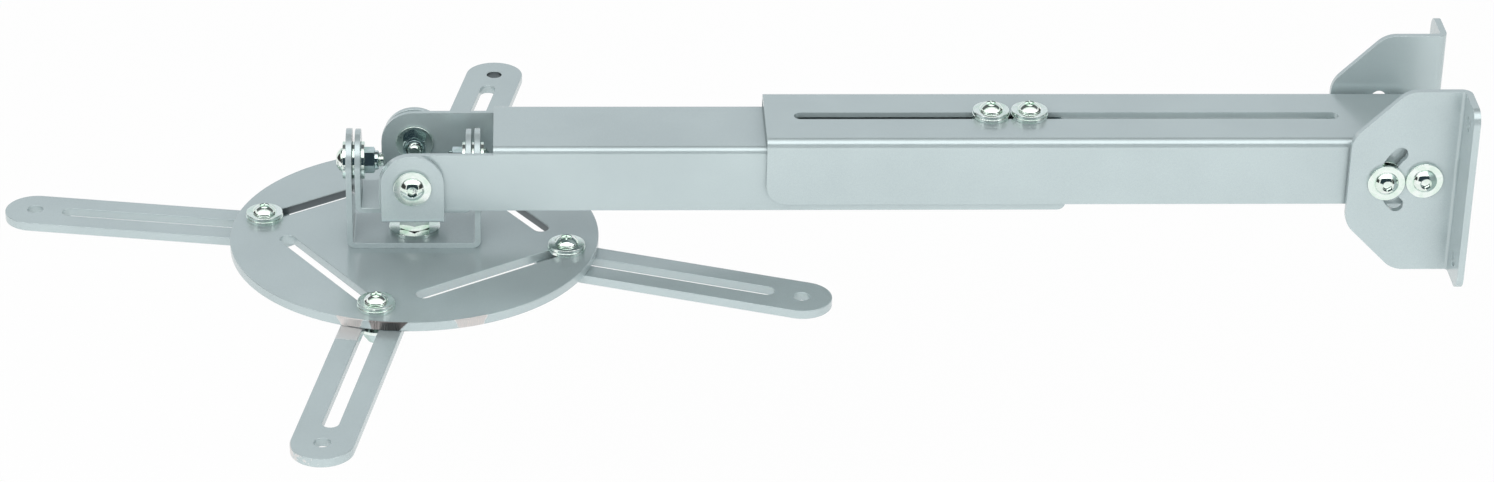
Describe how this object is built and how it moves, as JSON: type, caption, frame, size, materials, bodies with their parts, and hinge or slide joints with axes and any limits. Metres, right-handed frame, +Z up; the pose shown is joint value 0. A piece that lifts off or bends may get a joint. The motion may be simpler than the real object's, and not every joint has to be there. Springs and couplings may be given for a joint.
{
  "type": "projector wall mount",
  "caption": "Telescopic wall arm with a tilting base, a two-axis gimbal and a slotted disc with adjustable slotted arms that hold a projector.",
  "frame": {"origin": "centre of the four wall bolts, in the wall's plane", "axes": "+X out of the arm into the wall, the arm runs along -X; +Z up; +Y to the rear as the picture shows it"},
  "size_m": [0.6419, 0.3691, 0.1006],
  "materials": {
    "brackets": "silver-grey semi-gloss powder coat",
    "outer_channel": "silver-grey semi-gloss powder coat",
    "inner_channel": "silver-grey semi-gloss powder coat",
    "gimbal": "silver-grey semi-gloss powder coat",
    "disc": "silver-grey semi-gloss powder coat",
    "arms": "silver-grey semi-gloss powder coat",
    "screws": "bright zinc plating",
    "nuts": "bright zinc plating",
    "washers": "bright zinc plating",
    "spring_washers": "bright zinc plating"
  },
  "bodies": {
    "wall_brackets": {"bracket_front": "brackets", "bracket_rear": "brackets"},
    "outer_arm": {"outer_channel": "outer_channel", "tilt_pivot_screws": "screws", "tilt_guide_screws": "screws", "tilt_washers": "washers", "tilt_spacers": "spring_washers", "tilt_nut_washers": "washers", "tilt_nuts": "nuts"},
    "inner_arm": {"inner_channel": "inner_channel", "slot_screws": "screws", "slot_spring_washers": "spring_washers", "slot_washers": "washers", "slot_spacers": "spring_washers", "slot_nut_washers": "washers", "slot_nuts": "nuts"},
    "gimbal_cross": {"gimbal_cross": "gimbal", "pitch_screws": "screws", "pitch_washers": "washers", "pitch_nut_washers": "washers", "pitch_nuts": "nuts"},
    "lower_yoke": {"lower_yoke": "gimbal", "roll_screws": "screws", "roll_washers": "washers", "roll_gap_washers": "spring_washers", "roll_nut_washers": "washers", "roll_nuts": "nuts", "centre_bolt": "screws", "centre_lower_washer": "washers", "centre_washer": "washers", "centre_nut": "nuts"},
    "disc": {"slotted_disc": "disc"},
    "screw_left": {"arm_screw_left": "screws", "arm_washer_left": "washers", "arm_spring_washer_left": "spring_washers"},
    "clamp_nut_left": {"arm_nut_washer_left": "washers", "arm_nut_left": "nuts"},
    "support_arm_left": {"arm_left": "arms"},
    "screw_front": {"arm_screw_front": "screws", "arm_washer_front": "washers", "arm_spring_washer_front": "spring_washers"},
    "clamp_nut_front": {"arm_nut_washer_front": "washers", "arm_nut_front": "nuts"},
    "support_arm_front": {"arm_front": "arms"},
    "screw_right": {"arm_screw_right": "screws", "arm_washer_right": "washers", "arm_spring_washer_right": "spring_washers"},
    "clamp_nut_right": {"arm_nut_washer_right": "washers", "arm_nut_right": "nuts"},
    "support_arm_right": {"arm_right": "arms"},
    "screw_back": {"arm_screw_back": "screws", "arm_washer_back": "washers", "arm_spring_washer_back": "spring_washers"},
    "clamp_nut_back": {"arm_nut_washer_back": "washers", "arm_nut_back": "nuts"},
    "support_arm_back": {"arm_back": "arms"}
  },
  "joints": [
    {"name": "tilt", "type": "hinge", "parent": "wall_brackets", "child": "outer_arm", "pos_m": [-0.0172, 0, 0.001], "axis": [0, 1, 0], "range_deg": [-40, 40]},
    {"name": "telescope", "type": "slide", "parent": "outer_arm", "child": "inner_arm", "axis": [-1, 0, 0], "range_m": [-0.129, 0.083]},
    {"name": "pitch", "type": "hinge", "parent": "inner_arm", "child": "gimbal_cross", "pos_m": [-0.4585, 0, -0.005], "axis": [0, 1, 0], "range_deg": [-8.5, 11]},
    {"name": "roll", "type": "hinge", "parent": "gimbal_cross", "child": "lower_yoke", "pos_m": [-0.4585, 0, -0.0038], "axis": [1, 0, 0], "range_deg": [-13, 13]},
    {"name": "swivel", "type": "hinge", "parent": "lower_yoke", "child": "disc", "pos_m": [-0.4585, 0, -0.0403], "axis": [0, 0, 1], "continuous": true},
    {"name": "screw_travel_left", "type": "slide", "parent": "disc", "child": "screw_left", "axis": [0.8348, 0.5505, 0], "range_m": [0, 0.063]},
    {"name": "arm_turn_left", "type": "hinge", "parent": "screw_left", "child": "clamp_nut_left", "pos_m": [-0.52543, 0.01504, -0.0445], "axis": [0, 0, -1], "range_deg": [-80, 80]},
    {"name": "arm_reach_left", "type": "slide", "parent": "clamp_nut_left", "child": "support_arm_left", "axis": [-0.9874, 0.1582, 0], "range_m": [-0.04, 0.0003]},
    {"name": "screw_travel_front", "type": "slide", "parent": "disc", "child": "screw_front", "axis": [-0.5505, 0.8348, 0], "range_m": [0, 0.066]},
    {"name": "arm_turn_front", "type": "hinge", "parent": "screw_front", "child": "clamp_nut_front", "pos_m": [-0.47354, -0.06693, -0.0445], "axis": [0, 0, -1], "range_deg": [-80, 80]},
    {"name": "arm_reach_front", "type": "slide", "parent": "clamp_nut_front", "child": "support_arm_front", "axis": [-0.1736, -0.9848, 0], "range_m": [-0.044, 0.0003]},
    {"name": "screw_travel_right", "type": "slide", "parent": "disc", "child": "screw_right", "axis": [-0.8348, -0.5505, 0], "range_m": [0, 0.069]},
    {"name": "arm_turn_right", "type": "hinge", "parent": "screw_right", "child": "clamp_nut_right", "pos_m": [-0.39157, -0.01504, -0.0445], "axis": [0, 0, -1], "range_deg": [-80, 80]},
    {"name": "arm_reach_right", "type": "slide", "parent": "clamp_nut_right", "child": "support_arm_right", "axis": [0.9426, -0.3338, 0], "range_m": [-0.044, 0.0003]},
    {"name": "screw_travel_back", "type": "slide", "parent": "disc", "child": "screw_back", "axis": [0.5505, -0.8348, 0], "range_m": [0, 0.065]},
    {"name": "arm_turn_back", "type": "hinge", "parent": "screw_back", "child": "clamp_nut_back", "pos_m": [-0.44346, 0.06693, -0.0445], "axis": [0, 0, -1], "range_deg": [-80, 80]},
    {"name": "arm_reach_back", "type": "slide", "parent": "clamp_nut_back", "child": "support_arm_back", "axis": [0.1822, 0.9833, 0], "range_m": [-0.04, 0.0003]}
  ]
}
